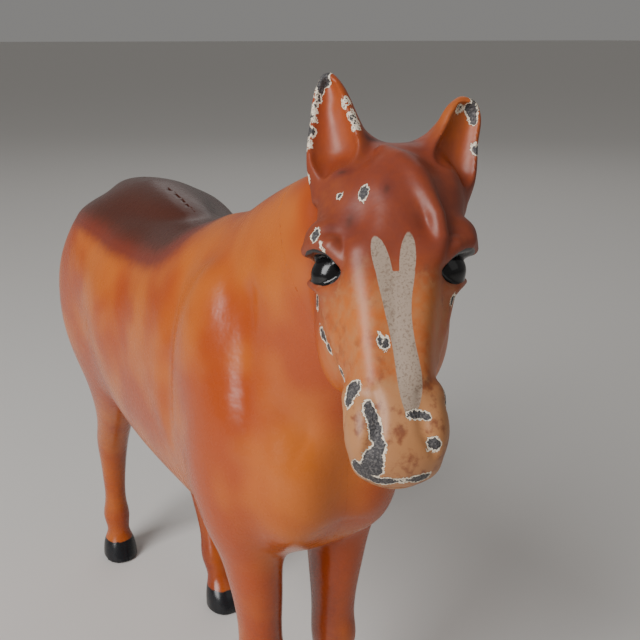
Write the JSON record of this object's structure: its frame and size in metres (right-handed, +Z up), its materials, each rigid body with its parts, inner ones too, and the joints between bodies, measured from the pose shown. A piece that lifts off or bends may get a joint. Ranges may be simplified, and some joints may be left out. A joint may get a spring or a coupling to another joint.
{
  "type": "figural animal coin bank",
  "caption": "Standing cast horse bank with turned head, a coin slot in its back and a hinged belly trap with a keyed cam lock.",
  "frame": {"origin": "middle of the footprint, on the plane the hooves stand on", "axes": "+Z up, the horse faces -Y and its left side is +X"},
  "size_m": [0.06, 0.235, 0.2047],
  "materials": {
    "casting_enamel": "glossy chestnut enamel over cream primer on rough cast metal, chipped",
    "tail_enamel": "glossy dark brown enamel on cast metal",
    "screw_steel": "turned steel, aged, slotted head",
    "pin_steel": "drawn wire",
    "trap_enamel": "glossy chestnut enamel on a small casting",
    "case_steel": "drawn and plated sheet steel",
    "rivet_steel": "set rivet",
    "plug_brass": "turned brass, dulled",
    "cam_steel": "blanked sheet steel",
    "key_steel": "blanked and tumbled flat key"
  },
  "bodies": {
    "horse": {"body_right": "casting_enamel", "body_left": "casting_enamel", "head": "casting_enamel", "tail": "tail_enamel", "assembly_screw_front": "screw_steel", "assembly_screw_rear": "screw_steel", "trap_hinge_pin": "pin_steel"},
    "trap": {"trap_door": "trap_enamel", "lock_case": "case_steel", "lock_rivet_right": "rivet_steel", "lock_rivet_left": "rivet_steel", "cam_washer": "cam_steel"},
    "lock": {"lock_plug": "plug_brass", "lock_cam": "cam_steel", "cam_screw": "screw_steel"},
    "key": {"key": "key_steel"}
  },
  "joints": [
    {"name": "trap_hinge", "type": "hinge", "parent": "horse", "child": "trap", "pos_m": [0, -0.0149, 0.0836], "axis": [-1, 0, 0], "range_deg": [0, 85]},
    {"name": "lock_turn", "type": "hinge", "parent": "trap", "child": "lock", "pos_m": [0, 0.0133, 0.085], "axis": [0, 0, 1], "range_deg": [0, 90]},
    {"name": "key_slide", "type": "slide", "parent": "lock", "child": "key", "axis": [0, 0, -1], "range_m": [0, 0.012]}
  ]
}
